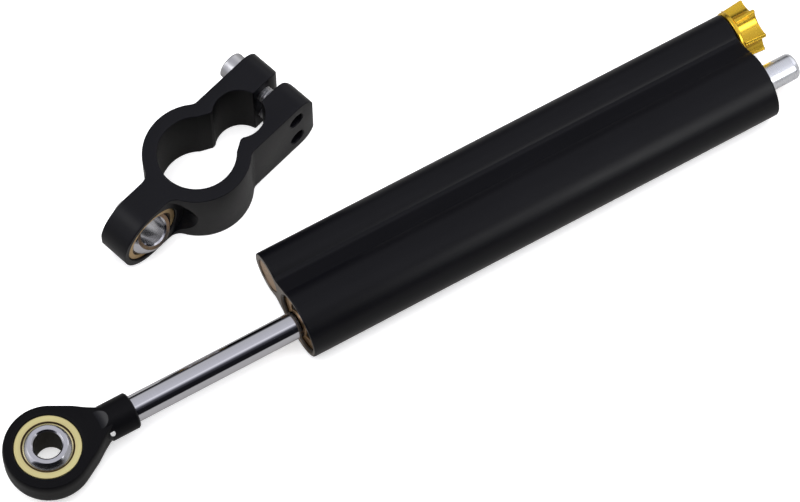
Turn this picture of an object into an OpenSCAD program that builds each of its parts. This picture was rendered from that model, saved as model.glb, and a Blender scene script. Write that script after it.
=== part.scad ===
// Through-rod steering damper in a twin tube body, with its loose clamp bracket beside it.
// Millimetres. Origin: centre of the rod end ball's bore. +X runs along the damper from the
// rod end to the body, +Z runs up along that bore, and the small tube is on the +Y side.

/* [Rod and strokes] */
// Radius of the piston rod
rod_r = 4; // [3.8:0.1:4.2]
// Distance from the rod end bore to the front face of the body
rod_out = 79; // [72:1:82]
// Length of rod that stands out behind the body
tail_out = 11.8; // [10:0.2:13]
// Piston centre behind the front face of the body
piston_at = 46; // [44:1:60]

/* [Twin tube body] */
// Length of the extruded body
body_len = 154.2; // [150:0.2:160]
// Outside radius of the big tube
big_r = 10.6; // [10.5:0.1:11.2]
// Outside radius of the small tube
small_r = 7.2; // [7:0.1:7.5]
// Distance between the two tube centres
tube_gap = 17.1; // [17:0.1:17.6]
// Half width of the waist where the flank meets the small tube
waist = 5.6; // [5.2:0.1:5.9]
// Radius of the bore that the piston runs in
main_bore_r = 8.7; // [8.6:0.05:8.8]
// Radius of the counterbores that hold the glands
gland_bore_r = 9.2; // [9.1:0.05:9.3]
// Depth of the gland counterbores
gland_depth = 15; // [14:0.5:16]
// Radius of the small tube's bore
side_bore_r = 5.1; // [5:0.05:5.2]
// Chamfer at the mouths of the bores
mouth_chamfer = 0.35; // [0.2:0.05:0.4]
// Radius of the oil ports between the two bores
port_r = 1.1; // [0.9:0.1:1.3]

/* [Glands and seals] */
// Length of a gland
gland_len = 13.6; // [13:0.1:13.8]
// Wire radius of the retaining rings
ring_wire = 0.4; // [0.35:0.05:0.45]
// Outside radius of the rod bushings
bushing_r = 5; // [4.9:0.1:5.2]
// Outside radius of the wiper pocket
wiper_r = 5.5; // [5.4:0.1:5.7]

/* [Rod end] */
// Radius of the eye
eye_r = 12.9; // [12.5:0.1:13.2]
// Thickness of the eye
eye_t = 9.5; // [9.3:0.1:9.8]
// Outside radius of the rod end's race
race_r = 9.65; // [9.4:0.05:9.8]
// Outside radius of the shank
shank_r = 5.45; // [5.3:0.05:5.6]
// Distance from the bore to the end of the shank
shank_end = 26.4; // [26:0.1:28]

/* [Spherical bearings] */
// Radius of the bearing balls
ball_r = 8.5; // [8.4:0.05:8.6]
// Width of the bearing balls
ball_w = 12.6; // [12.2:0.1:12.8]
// Radius of the bore through each ball
ball_bore_r = 4.1; // [4:0.05:4.2]
// Width of the races
race_w = 9; // [8.8:0.1:9.2]

/* [Adjuster] */
// Radius of the knob's flange
knob_r = 7.5; // [7.3:0.05:7.6]
// Radius of the knob's lobes at its outer end
knob_tip_r = 8.1; // [7.8:0.1:8.3]
// Length of the knob
knob_len = 8.1; // [7.8:0.1:8.6]
// Number of finger flutes round the knob
flutes = 6; // [5:1:7]
// Turn of the knob at rest
knob_turn = 26; // [0:1:60]
// Radius of each finger flute
flute_r = 4.5; // [4.3:0.1:4.6]
// Radius of the adjuster spindle
spindle_r = 2.2; // [2:0.1:2.3]
// Radius of the needle's stem
needle_r = 1.4; // [1.3:0.05:1.5]

/* [Clamp bracket] */
// Thickness of the clamp along the tubes
clamp_t = 22.4; // [22:0.1:23.4]
// Radius of the clamp's big hole
clamp_big_r = 11.4; // [11.3:0.1:11.6]
// Radius of the clamp's small hole
clamp_small_r = 7.6; // [7.4:0.05:7.7]
// Outside radius of the clamp's ring
clamp_ring_r = 15.7; // [15.4:0.1:16]
// Half width across the two ears
ear_w = 11.5; // [11.2:0.05:11.6]
// Distance from the big hole to the ends of the ears
ear_end = 35.8; // [35:0.1:38]
// Rounding of the ear ends, seen from the side
ear_round = 5.5; // [5:0.1:6]
// Distance from the big hole to the bearing in the lug
lug_at = 23.6; // [23.2:0.1:24]
// Thickness of the lug
lug_w = 9.75; // [9.6:0.05:10]
// Outside radius of the lug's race
lug_race_r = 9.35; // [9.2:0.05:9.4]
// Radius of the relief cut beside the bearing
relief_r = 12.3; // [12:0.1:12.6]
// Width of the slot between the ears
slot_w = 3.4; // [3:0.1:3.8]
// Rounding of the slot's mouth at the ends of the ears
mouth_round = 3; // [2:0.5:3.5]
// Distance of the screws from the big hole
screw_at = 28.9; // [28.4:0.1:29.4]
// Spacing of the two screws
screw_gap = 10.4; // [9.8:0.1:10.6]
// Radius of the screw heads
head_r = 4.25; // [4.1:0.05:4.3]
// Tilt of the ball in the lug at rest
lug_tilt = 30; // [0:1:32]
// Place of the clamp's big hole along the damper
clamp_x = 78; // [76:0.1:80]
// Place of the clamp's big hole across the damper
clamp_y = 56; // [54:0.1:58]
// Turn of the clamp about its big hole
clamp_turn = 16.9; // [14:0.1:19]

/* [Hidden] */
$fn = 96;
seat_gap = 0.02;
run_gap = 0.05;
body_x0 = rod_out;
body_x1 = rod_out + body_len;
tail_x = body_x1 + tail_out;
piston_x = body_x0 + piston_at;
piston_len = 8;
floor_z = -big_r;
big_waist_x = tube_gap - sqrt(small_r * small_r - waist * waist);
front_face = body_x0 + 1.2;
rear_face = body_x1 - 1.2;
port_front = body_x0 + 29;
port_rear = body_x1 - 31;
seat_at = body_x1 - 48;
housing_at = body_x1 - 26;
knob_at = body_x1 + 0.15;
ball_flat_r = sqrt(ball_r * ball_r - ball_w * ball_w / 4);
ball_seat_r = ball_r + 0.03;
detent_at = 4.3;
knob_web = 4.3;
spindle_ring_at = housing_at + 13.5;
float_ring_at = body_x0 + 16.9;
screw_r = 2.5;
head_sink = 1;
slot_y = -1.85;

// A cylinder along X from x0 to x1.
module bar(x0, x1, r, y = 0)
  translate([x0, y, 0]) rotate([0, 90, 0]) cylinder(h = x1 - x0, r = r);

// A cone along X from radius ra at x0 to radius rb at x1.
module taper(x0, x1, ra, rb, y = 0)
  translate([x0, y, 0]) rotate([0, 90, 0]) cylinder(h = x1 - x0, r1 = ra, r2 = rb);

// A plain ring along X.
module sleeve(x0, x1, r_out, r_in, y = 0)
  difference() {
    bar(x0, x1, r_out, y);
    bar(x0 - 1, x1 + 1, r_in, y);
  }

// A round-section ring about an X axis, centred at x.
module torus(x, r_mid, r_wire, y = 0)
  translate([x, y, 0]) rotate([0, 90, 0]) rotate_extrude() translate([r_mid, 0]) circle(r = r_wire);

// Places its children in the clamp's own frame: x towards the ears, z up, middle of the
// thickness at zero.
module at_clamp()
  translate([clamp_x, clamp_y, floor_z + clamp_t / 2]) rotate([0, 0, clamp_turn]) children();

// Twin tube form along +Z from 0 to h: two round bars and the web with the flanks between them.
// A narrow flat fills the bottom of the groove where a flank meets the small bar.
module twin_bar(h, rb, rs, w, wx) {
  cylinder(h = h, r = rb);
  translate([tube_gap, 0, 0]) cylinder(h = h, r = rs);
  linear_extrude(h) polygon([[1, 3], [rb * 0.98 * cos(72), rb * 0.98 * sin(72)],
    [wx - 0.6, w + 0.27], [wx + 0.55, w + 0.33], [tube_gap - 1, 2], [tube_gap - 1, -2],
    [wx + 0.55, -w - 0.33], [wx - 0.6, -w - 0.27],
    [rb * 0.98 * cos(72), -rb * 0.98 * sin(72)], [1, -3]]);
}

// Extruded twin tube body with its bores, gland seats, ring grooves and oil ports.
module body_profile() color([0.09, 0.09, 0.1]) difference() {
  translate([body_x0, 0, 0]) rotate([90, 0, 90])
    twin_bar(body_len, big_r, small_r, waist, big_waist_x);
  bar(body_x0 - 1, body_x1 + 1, main_bore_r);
  bar(body_x0 - 1, body_x0 + gland_depth, gland_bore_r);
  bar(body_x1 - gland_depth, body_x1 + 1, gland_bore_r);
  taper(body_x0 - 0.01, body_x0 + mouth_chamfer, gland_bore_r + mouth_chamfer, gland_bore_r);
  taper(body_x1 - mouth_chamfer, body_x1 + 0.01, gland_bore_r, gland_bore_r + mouth_chamfer);
  bar(front_face - 2 * ring_wire - 0.02, front_face, gland_bore_r + ring_wire);
  bar(rear_face, rear_face + 2 * ring_wire + 0.02, gland_bore_r + ring_wire);
  bar(body_x0 - 1, body_x1 + 1, side_bore_r, tube_gap);
  taper(body_x0 - 0.01, body_x0 + 0.25, side_bore_r + 0.25, side_bore_r, tube_gap);
  bar(housing_at + 15.5, housing_at + 16.4, side_bore_r + 0.4, tube_gap);
  for (x = [port_front, port_rear])
    translate([x, main_bore_r - 1.5, 0]) rotate([-90, 0, 0]) cylinder(h = 5.5, r = port_r);
}

// One gland, drawn with its outer face at x = 0 and its length along +X.
module gland_shape() difference() {
  union() {
    taper(0, 0.4, gland_bore_r - 0.4, gland_bore_r - seat_gap);
    bar(0.4, gland_len, gland_bore_r - seat_gap);
  }
  bar(-1, gland_len + 1, rod_r + 0.25);
  bar(-1, 2.4, wiper_r);
  bar(5, gland_len + 1, bushing_r);
  bar(gland_len - 3, gland_len + 1, 6.2);
  difference() {
    bar(7.2, 9.2, gland_bore_r + 1);
    bar(6, 10, gland_bore_r - 1.35);
  }
}

// Bushing, seal, wiper and ring of one gland, in the same frame.
module bushing_shape() sleeve(5.05, gland_len - 3.1, bushing_r - seat_gap, rod_r + run_gap);
module seal_shape() difference() {
  bar(gland_len - 2.95, gland_len - 0.2, 6.2 - seat_gap);
  bar(0, gland_len + 1, rod_r + run_gap);
  difference() {
    bar(gland_len - 1.4, gland_len + 1, 5.6);
    bar(gland_len - 2, gland_len + 2, 4.7);
  }
}
module wiper_shape() difference() {
  bar(0.5, 2.35, wiper_r - seat_gap);
  bar(0, 3, rod_r + run_gap);
  taper(0.49, 1.3, rod_r + 1, rod_r + run_gap);
}
module gland_ring_shape() torus(8.2, gland_bore_r - 0.7, 0.62);
module circlip_shape() difference() {
  torus(-ring_wire - 0.01, gland_bore_r - 0.01, ring_wire);
  translate([-2, -1.5, -gland_bore_r - 2]) cube([3, 3, 4]);
}
module at_front() translate([front_face, 0, 0]) children();
module at_rear() translate([rear_face, 0, 0]) rotate([0, 0, 180]) children();

module front_gland() color([0.62, 0.45, 0.3]) at_front() gland_shape();
module front_bushing() color([0.7, 0.55, 0.3]) at_front() bushing_shape();
module front_rod_seal() color([0.12, 0.12, 0.12]) at_front() seal_shape();
module front_wiper() color([0.12, 0.1, 0.09]) at_front() wiper_shape();
module front_gland_o_ring() color([0.1, 0.1, 0.1]) at_front() gland_ring_shape();
module front_circlip() color([0.15, 0.14, 0.13]) at_front() circlip_shape();
module rear_gland() color([0.62, 0.45, 0.3]) at_rear() gland_shape();
module rear_bushing() color([0.7, 0.55, 0.3]) at_rear() bushing_shape();
module rear_rod_seal() color([0.12, 0.12, 0.12]) at_rear() seal_shape();
module rear_wiper() color([0.12, 0.1, 0.09]) at_rear() wiper_shape();
module rear_gland_o_ring() color([0.1, 0.1, 0.1]) at_rear() gland_ring_shape();
module rear_circlip() color([0.15, 0.14, 0.13]) at_rear() circlip_shape();

// Plug in the front of the small bore, with the groove for its sealing ring.
module side_plug() color([0.72, 0.47, 0.3]) difference() {
  union() {
    taper(body_x0 + 0.3, body_x0 + 0.55, side_bore_r - 0.25, side_bore_r - seat_gap, tube_gap);
    bar(body_x0 + 0.55, body_x0 + 6.5, side_bore_r - seat_gap, tube_gap);
  }
  difference() {
    bar(body_x0 + 3, body_x0 + 4.8, side_bore_r + 1, tube_gap);
    bar(body_x0 + 2, body_x0 + 6, side_bore_r - 1.2, tube_gap);
  }
}
module side_plug_o_ring() color([0.1, 0.1, 0.1])
  torus(body_x0 + 3.9, side_bore_r - 0.61, 0.56, tube_gap);

// Floating piston that takes up the rod seals' oil loss, in front of the front port.
module floating_piston() color([0.6, 0.6, 0.62]) difference() {
  bar(body_x0 + 13, body_x0 + 20, side_bore_r - run_gap, tube_gap);
  bar(body_x0 + 12, body_x0 + 15, 3.2, tube_gap);
  difference() {
    bar(float_ring_at - 0.9, float_ring_at + 0.9, side_bore_r + 1, tube_gap);
    bar(float_ring_at - 1.9, float_ring_at + 2.1, side_bore_r - 1.2, tube_gap);
  }
}
module floating_piston_o_ring() color([0.1, 0.1, 0.1])
  torus(float_ring_at, side_bore_r - 0.63, 0.55, tube_gap);

// Seat that the needle closes on.
module valve_seat() color([0.7, 0.55, 0.3]) difference() {
  bar(seat_at, seat_at + 8, side_bore_r - seat_gap, tube_gap);
  bar(seat_at - 1, seat_at + 9, needle_r - 0.2, tube_gap);
  taper(seat_at - 0.01, seat_at + 2.5, 3.2, needle_r - 0.2, tube_gap);
  difference() {
    bar(seat_at + 3.6, seat_at + 5.4, side_bore_r + 1, tube_gap);
    bar(seat_at + 3, seat_at + 6, side_bore_r - 1.2, tube_gap);
  }
}
module valve_seat_o_ring() color([0.1, 0.1, 0.1])
  torus(seat_at + 4.5, side_bore_r - 0.61, 0.56, tube_gap);

// Housing that carries the adjuster spindle and guides the needle.
module adjuster_housing() color([0.62, 0.45, 0.3]) difference() {
  bar(housing_at, body_x1 - 0.1, side_bore_r - seat_gap, tube_gap);
  bar(housing_at - 1, body_x1 + 1, spindle_r + run_gap, tube_gap);
  bar(spindle_ring_at - 0.9, spindle_ring_at + 0.9, spindle_r + 0.95, tube_gap);
  difference() {
    bar(housing_at + 4, housing_at + 5.8, side_bore_r + 1, tube_gap);
    bar(housing_at + 3, housing_at + 7, side_bore_r - 1.2, tube_gap);
  }
  difference() {
    bar(housing_at + 15.5, housing_at + 16.4, side_bore_r + 1, tube_gap);
    bar(housing_at + 15, housing_at + 17, side_bore_r - 0.45, tube_gap);
  }
  translate([knob_at + 0.1, tube_gap, 0]) rotate([0, 90, 0]) rotate_extrude()
    translate([detent_at, 0]) circle(r = 0.9);
}
module housing_o_ring() color([0.1, 0.1, 0.1])
  torus(housing_at + 4.9, side_bore_r - 0.61, 0.56, tube_gap);
module housing_ring() color([0.5, 0.5, 0.52])
  sleeve(housing_at + 15.55, housing_at + 16.35, side_bore_r + 0.36, side_bore_r - 0.42, tube_gap);

// Ground and chromed rod: threaded stud in front, plain tail with a rounded end behind.
module piston_rod() color([0.8, 0.8, 0.84]) difference() {
  union() {
    bar(shank_end - 12.5, shank_end + 0.2, 3 - seat_gap);
    bar(shank_end + 0.12, tail_x - 1.4, rod_r);
    taper(tail_x - 1.4, tail_x - 0.75, rod_r, rod_r - 0.25);
    taper(tail_x - 0.75, tail_x - 0.25, rod_r - 0.25, rod_r - 0.8);
    taper(tail_x - 0.25, tail_x, rod_r - 0.8, rod_r - 1.5);
  }
  for (x = [piston_x - piston_len / 2 - 1.05, piston_x + piston_len / 2 + 0.1])
    sleeve(x, x + 0.95, rod_r + 1, rod_r - 0.5);
}

// Rod end: eye with milled flats, tapering neck and round shank with its thread hole.
module rod_end() color([0.08, 0.08, 0.09]) difference() {
  union() {
    translate([0, 0, -eye_t / 2]) cylinder(h = 0.7, r1 = eye_r - 0.7, r2 = eye_r);
    translate([0, 0, -eye_t / 2 + 0.7]) cylinder(h = eye_t - 1.4, r = eye_r);
    translate([0, 0, eye_t / 2 - 0.7]) cylinder(h = 0.7, r1 = eye_r, r2 = eye_r - 0.7);
    translate([0, 0, -eye_t / 2 + 0.35]) linear_extrude(eye_t - 0.7) polygon([
      [0, 10.5], [eye_r * cos(62), eye_r * sin(62)], [12, 8], [15.4, 5.8], [17.4, 4.65], [19.6, 3.6],
      [19.6, -3.6], [17.4, -4.65], [15.4, -5.8], [12, -8],
      [eye_r * cos(62), -eye_r * sin(62)], [0, -10.5]]);
    translate([0, 0, -eye_t / 2]) linear_extrude(eye_t) polygon([
      [0, 10.5], [eye_r * cos(62) - 0.35, eye_r * sin(62) - 0.6], [11.65, 7.4], [15.1, 5.2],
      [17.1, 4.05], [19.3, 3], [19.3, -3], [17.1, -4.05], [15.1, -5.2], [11.65, -7.4],
      [eye_r * cos(62) - 0.35, -eye_r * sin(62) + 0.6], [0, -10.5]]);
    difference() {
      union() {
        bar(11, shank_end - 0.5, shank_r);
        taper(shank_end - 0.5, shank_end, shank_r, shank_r - 0.5);
      }
      for (s = [0, 180]) rotate([s, 0, 0]) translate([0, 0, eye_t / 2 - 0.01])
        cylinder(h = 1.2, r1 = 16.8, r2 = 21);
    }
  }
  translate([0, 0, -eye_t]) cylinder(h = 2 * eye_t, r = race_r + run_gap);
  bar(shank_end - 13, shank_end + 1, 3);
  rotate([26, 0, 0]) translate([17.9, 0, 0]) rotate([90, 0, 0]) cylinder(h = 8, r = 0.65);
}

module piston_clip_front() color([0.4, 0.4, 0.42])
  sleeve(piston_x - piston_len / 2 - 0.95, piston_x - piston_len / 2 - 0.15, 5.4, rod_r - 0.48);
module piston_clip_rear() color([0.4, 0.4, 0.42])
  sleeve(piston_x + piston_len / 2 + 0.15, piston_x + piston_len / 2 + 0.95, 5.4, rod_r - 0.48);

// Piston with a groove for its band and the ring under it.
module piston() color([0.65, 0.65, 0.67]) difference() {
  bar(piston_x - piston_len / 2, piston_x + piston_len / 2, main_bore_r - 0.3);
  bar(piston_x - piston_len, piston_x + piston_len, rod_r + 0.04);
  difference() {
    bar(piston_x - 2, piston_x + 2, main_bore_r + 1);
    bar(piston_x - 3, piston_x + 3, main_bore_r - 1.2);
  }
  difference() {
    bar(piston_x - 0.8, piston_x + 0.8, main_bore_r + 1);
    bar(piston_x - 3, piston_x + 3, main_bore_r - 2.5);
  }
}
module piston_band() color([0.3, 0.22, 0.15])
  sleeve(piston_x - 1.95, piston_x + 1.95, main_bore_r - run_gap, main_bore_r - 1.15);
module piston_o_ring() color([0.1, 0.1, 0.1]) torus(piston_x, main_bore_r - 1.83, 0.62);

// Race of a spherical bearing, on its own axis along Z.
module race_shape(r) difference() {
  union() {
    translate([0, 0, -race_w / 2]) cylinder(h = 0.25, r1 = r - 0.25, r2 = r);
    translate([0, 0, -race_w / 2 + 0.25]) cylinder(h = race_w - 0.5, r = r);
    translate([0, 0, race_w / 2 - 0.25]) cylinder(h = 0.25, r1 = r, r2 = r - 0.25);
  }
  sphere(r = ball_seat_r);
  for (s = [0, 180]) rotate([s, 0, 0]) translate([0, 0, race_w / 2 - 0.4])
    cylinder(h = 0.41, r1 = 7.4, r2 = 7.75);
}

// Ball of a spherical bearing with flat faces and a chamfered bore.
module ball_shape() difference() {
  sphere(r = ball_r);
  for (s = [0, 180]) rotate([s, 0, 0]) {
    translate([-10, -10, ball_w / 2]) cube([20, 20, 5]);
    translate([0, 0, ball_w / 2 - 0.45]) cylinder(h = 0.46, r1 = ball_bore_r, r2 = ball_bore_r + 0.46);
  }
  translate([0, 0, -10]) cylinder(h = 20, r = ball_bore_r);
}
module rod_end_race() color([0.86, 0.72, 0.42]) race_shape(race_r);
module rod_end_ball() color([0.82, 0.82, 0.86]) ball_shape();

// Adjuster spindle: its front end is bored for the needle's tail.
module adjuster_spindle() color([0.6, 0.6, 0.62]) difference() {
  bar(housing_at + 4, knob_at + knob_web - 0.1, spindle_r, tube_gap);
  bar(housing_at + 3, housing_at + 12, needle_r + run_gap, tube_gap);
  bar(knob_at - 1.5, knob_at + 5, 1.02, tube_gap);
  difference() {
    bar(spindle_ring_at - 0.9, spindle_ring_at + 0.9, spindle_r + 1, tube_gap);
    bar(spindle_ring_at - 1.5, spindle_ring_at + 1.5, spindle_r - 0.35, tube_gap);
  }
}
module spindle_o_ring() color([0.1, 0.1, 0.1])
  torus(spindle_ring_at, spindle_r + 0.27, 0.58, tube_gap);

// Fluted knob with a thin flange against the body.
module adjuster_knob() color([0.85, 0.62, 0.1]) translate([knob_at, tube_gap, 0]) difference() {
  union() {
    taper(0, 0.35, knob_r - 0.35, knob_r);
    bar(0.35, 1.3, knob_r);
    taper(1.25, knob_len - 0.4, knob_r, knob_tip_r);
    taper(knob_len - 0.4, knob_len, knob_tip_r, knob_tip_r - 0.4);
  }
  for (i = [0:flutes - 1]) rotate([i * 360 / flutes + 180 / flutes + knob_turn, 0, 0])
    translate([1.25, knob_r + 2.45, 0]) rotate([0, 90, 0]) cylinder(h = knob_len, r = flute_r);
  bar(-1, knob_web, spindle_r + 0.01);
  bar(knob_web - 0.1, knob_web + 1.1, 1.1);
  bar(knob_web + 1, knob_len + 1, 2.35);
  rotate([30, 0, 0]) bar(-1, 3.6, 0.85, detent_at);
}
module detent_plunger() color([0.7, 0.7, 0.72]) translate([knob_at, tube_gap, 0])
  rotate([30, 0, 0]) union() {
    bar(0.1, 3.5, 0.8, detent_at);
    translate([0.1, detent_at, 0]) sphere(r = 0.8);
  }
module knob_screw() color([0.35, 0.35, 0.37]) translate([knob_at, tube_gap, 0]) difference() {
  union() {
    bar(-1.4, knob_web + 1.1, 1);
    bar(knob_web + 1.02, knob_web + 3, 2.2);
  }
  translate([knob_web + 1.8, 0, 0]) rotate([0, 90, 0]) cylinder(h = 2, r = 1.1, $fn = 6);
}

// Needle: a tapered tip in the seat and a stem that runs back into the spindle.
module needle() color([0.75, 0.75, 0.78]) union() {
  taper(seat_at + 4.6, seat_at + 9.6, 0.35, needle_r, tube_gap);
  bar(seat_at + 9.6, housing_at + 11, needle_r, tube_gap);
}

// Fillet between the clamp's ring and a straight side at height a; sx and sy pick the corner.
module ring_fillet(a, f, sx, sy) {
  cx = sqrt(pow(clamp_ring_r + f, 2) - pow(a + f, 2));
  a0 = atan2(a + f, cx) + 180;
  scale([sx, sy]) polygon(concat(
    [for (i = [0:8]) [cx + f * cos(a0 + (270 - a0) * i / 8), a + f + f * sin(a0 + (270 - a0) * i / 8)]],
    [[cx, a - 1.2], [cx * 0.7, a - 1.2], [(clamp_ring_r - 1) * cos(a0 - 180), (clamp_ring_r - 1) * sin(a0 - 180)]]));
}

// Plan of the clamp without the ends of its ears and lug.
module clamp_plan() {
  circle(r = clamp_ring_r);
  translate([0, -ear_w]) square([ear_end - ear_round, 2 * ear_w]);
  translate([-lug_at, -lug_w / 2 - 0.12]) square([lug_at, lug_w]);
  ring_fillet(ear_w, 3, 1, 1);
  ring_fillet(ear_w, 3, 1, -1);
  ring_fillet(lug_w / 2 - 0.12, 4, -1, 1);
  ring_fillet(lug_w / 2 + 0.12, 4, -1, -1);
}

// One-piece clamp: ring, two ears with a slot, and a lug with the seat for its bearing.
module clamp_bracket() color([0.09, 0.09, 0.1]) at_clamp() difference() {
  union() {
    translate([0, 0, -clamp_t / 2]) linear_extrude(clamp_t) clamp_plan();
    translate([-lug_at, lug_w / 2 - 0.12, 0]) rotate([90, 0, 0])
      cylinder(h = lug_w, r = clamp_t / 2 - 0.02);
    for (s = [-1, 1]) translate([ear_end - ear_round, ear_w, s * (clamp_t / 2 - ear_round)])
      rotate([90, 0, 0]) cylinder(h = 2 * ear_w, r = ear_round - 0.02);
    translate([ear_end - ear_round - 1, -ear_w, ear_round - clamp_t / 2])
      cube([ear_round + 0.93, 2 * ear_w, clamp_t - 2 * ear_round]);
  }
  translate([0, 0, -clamp_t])
    twin_bar(2 * clamp_t, clamp_big_r, clamp_small_r, waist + 0.2,
      tube_gap - sqrt(pow(clamp_small_r, 2) - pow(waist + 0.2, 2)));
  translate([tube_gap, slot_y, -clamp_t]) cube([ear_end, slot_w, 2 * clamp_t]);
  translate([ear_end - mouth_round, slot_y + slot_w / 2, -clamp_t]) linear_extrude(2 * clamp_t)
    for (s = [0, 1]) mirror([0, s]) difference() {
      square([mouth_round + 1, slot_w / 2 + mouth_round]);
      translate([0, slot_w / 2 + mouth_round]) circle(r = mouth_round);
    }
  translate([-lug_at, 10, 0]) rotate([90, 0, 0]) cylinder(h = 20, r = lug_race_r + run_gap);
  translate([-lug_at, -lug_w / 2 - 0.12, 0]) rotate([90, 0, 0]) cylinder(h = 20, r = relief_r);
  for (s = [-1, 1]) translate([screw_at, 0, s * screw_gap / 2]) rotate([-90, 0, 0]) {
    translate([0, 0, -20]) cylinder(h = 40, r = screw_r + 0.02);
    cylinder(h = 20, r = screw_r + 0.25);
    translate([0, 0, ear_w - head_sink]) cylinder(h = 5, r = head_r + 0.3);
  }
}

// Socket head cap screw across the slot, head on the far ear.
module clamp_screw(s) at_clamp() translate([screw_at, ear_w - head_sink, s * screw_gap / 2])
  rotate([-90, 0, 0]) difference() {
    union() {
      translate([0, 0, -17]) cylinder(h = 17.1, r = screw_r);
      cylinder(h = 4.6, r = head_r);
      translate([0, 0, 4.6]) cylinder(h = 0.4, r1 = head_r, r2 = head_r - 0.4);
    }
    translate([0, 0, 2.6]) cylinder(h = 3, r = 2.3, $fn = 6);
  }
module clamp_screw_upper() color([0.75, 0.75, 0.76]) clamp_screw(1);
module clamp_screw_lower() color([0.75, 0.75, 0.76]) clamp_screw(-1);

module clamp_race() color([0.78, 0.6, 0.35]) at_clamp() translate([-lug_at, 0, 0]) rotate([90, 0, 0])
  race_shape(lug_race_r);
module clamp_ball() color([0.82, 0.82, 0.86]) at_clamp() translate([-lug_at, 0, 0])
  rotate([90 - lug_tilt, 0, 0]) ball_shape();

body_profile();
front_gland();
front_bushing();
front_rod_seal();
front_wiper();
front_gland_o_ring();
front_circlip();
rear_gland();
rear_bushing();
rear_rod_seal();
rear_wiper();
rear_gland_o_ring();
rear_circlip();
side_plug();
side_plug_o_ring();
valve_seat();
valve_seat_o_ring();
adjuster_housing();
housing_o_ring();
housing_ring();
floating_piston();
floating_piston_o_ring();
piston_rod();
rod_end();
piston_clip_front();
piston_clip_rear();
piston();
piston_band();
piston_o_ring();
rod_end_race();
rod_end_ball();
adjuster_spindle();
adjuster_knob();
knob_screw();
spindle_o_ring();
detent_plunger();
needle();
clamp_bracket();
clamp_screw_upper();
clamp_screw_lower();
clamp_race();
clamp_ball();
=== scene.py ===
"""Linear steering damper with its loose clamp bracket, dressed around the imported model.

Sizes in this file are millimetres and become metres where a mesh is made. The damper lies along
+X with the rod end's bore at the origin, and the small tube is on the +Y side. Lamps are placed in
metres.
"""

import math

import bpy
import bmesh
import numpy as np
from mathutils import Euler, Matrix, Vector
from mathutils.geometry import delaunay_2d_cdt, tessellate_polygon


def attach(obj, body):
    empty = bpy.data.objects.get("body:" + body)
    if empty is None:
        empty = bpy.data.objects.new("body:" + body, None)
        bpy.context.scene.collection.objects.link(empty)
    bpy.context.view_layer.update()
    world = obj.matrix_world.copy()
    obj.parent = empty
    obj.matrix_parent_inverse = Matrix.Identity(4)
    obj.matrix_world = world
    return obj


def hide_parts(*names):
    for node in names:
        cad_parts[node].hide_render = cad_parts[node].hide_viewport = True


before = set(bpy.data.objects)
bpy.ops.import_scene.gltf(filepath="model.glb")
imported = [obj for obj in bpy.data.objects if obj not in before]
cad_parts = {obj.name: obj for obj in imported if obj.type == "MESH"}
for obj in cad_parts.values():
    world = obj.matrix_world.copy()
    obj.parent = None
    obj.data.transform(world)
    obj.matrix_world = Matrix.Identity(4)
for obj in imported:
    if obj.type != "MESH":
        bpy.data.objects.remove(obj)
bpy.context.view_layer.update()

# Camera. It stands in front of and above the damper, looking down at 65 degrees across it, so
# that the rod end comes towards the lower left and the adjuster lies at the upper right.

MM = 0.001
view_turn, view_tilt, view_distance = math.radians(-29.86), math.radians(65), 1150
picture_wide, focal_pixels = 800, 4039
look_at = np.array([115.56, 5.17, 0.0])
look = np.array([-math.sin(view_turn) * math.cos(view_tilt),
                 math.cos(view_turn) * math.cos(view_tilt), -math.sin(view_tilt)])
lens = bpy.data.cameras.new("camera")
lens.sensor_width = 36
lens.lens = focal_pixels * lens.sensor_width / picture_wide
lens.clip_start, lens.clip_end = 0.05, 30
camera = bpy.data.objects.new("camera", lens)
bpy.context.scene.collection.objects.link(camera)
camera.location = Vector((look_at - look * view_distance) * MM)
camera.rotation_mode = "QUATERNION"
camera.rotation_quaternion = Vector(look).to_track_quat("-Z", "Y")
bpy.context.scene.camera = camera
bpy.context.scene.view_settings.view_transform = "Standard"

# Floor and light. A matt white sheet in a plain pale room that is dark behind the camera and at
# the skirting and has paler ends and a brighter strip of ceiling. A broad lamp hangs overhead, a
# soft box stands on the left and a small lamp is aimed at the adjuster.


def node_tree(owner):
    """The owner's empty node tree, with a function that adds a node, sets its plain values and
    links the sockets that are given as other nodes' outputs."""
    owner.use_nodes = True
    tree = owner.node_tree
    tree.nodes.clear()

    def add(kind, settings=None, **sockets):
        node = tree.nodes.new(kind)
        for key, value in (settings or {}).items():
            setattr(node, key, value)
        for key, value in sockets.items():
            socket = node.inputs[int(key[1:])] if key[0] == "i" and key[1:].isdigit() else \
                node.inputs[key.replace("_", " ")]
            if isinstance(value, bpy.types.NodeSocket):
                tree.links.new(value, socket)
            else:
                socket.default_value = value
        return node

    return tree, add


floor_z, floor_half = -10.62, 6000
floor_mesh = bpy.data.meshes.new("studio_floor")
floor_mesh.from_pydata([(x * floor_half * MM, y * floor_half * MM, floor_z * MM) for x, y in
                        ((-1, -1), (1, -1), (1, 1), (-1, 1))], [], [(0, 1, 2, 3)])
floor = bpy.data.objects.new("studio_floor", floor_mesh)
bpy.context.scene.collection.objects.link(floor)
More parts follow.
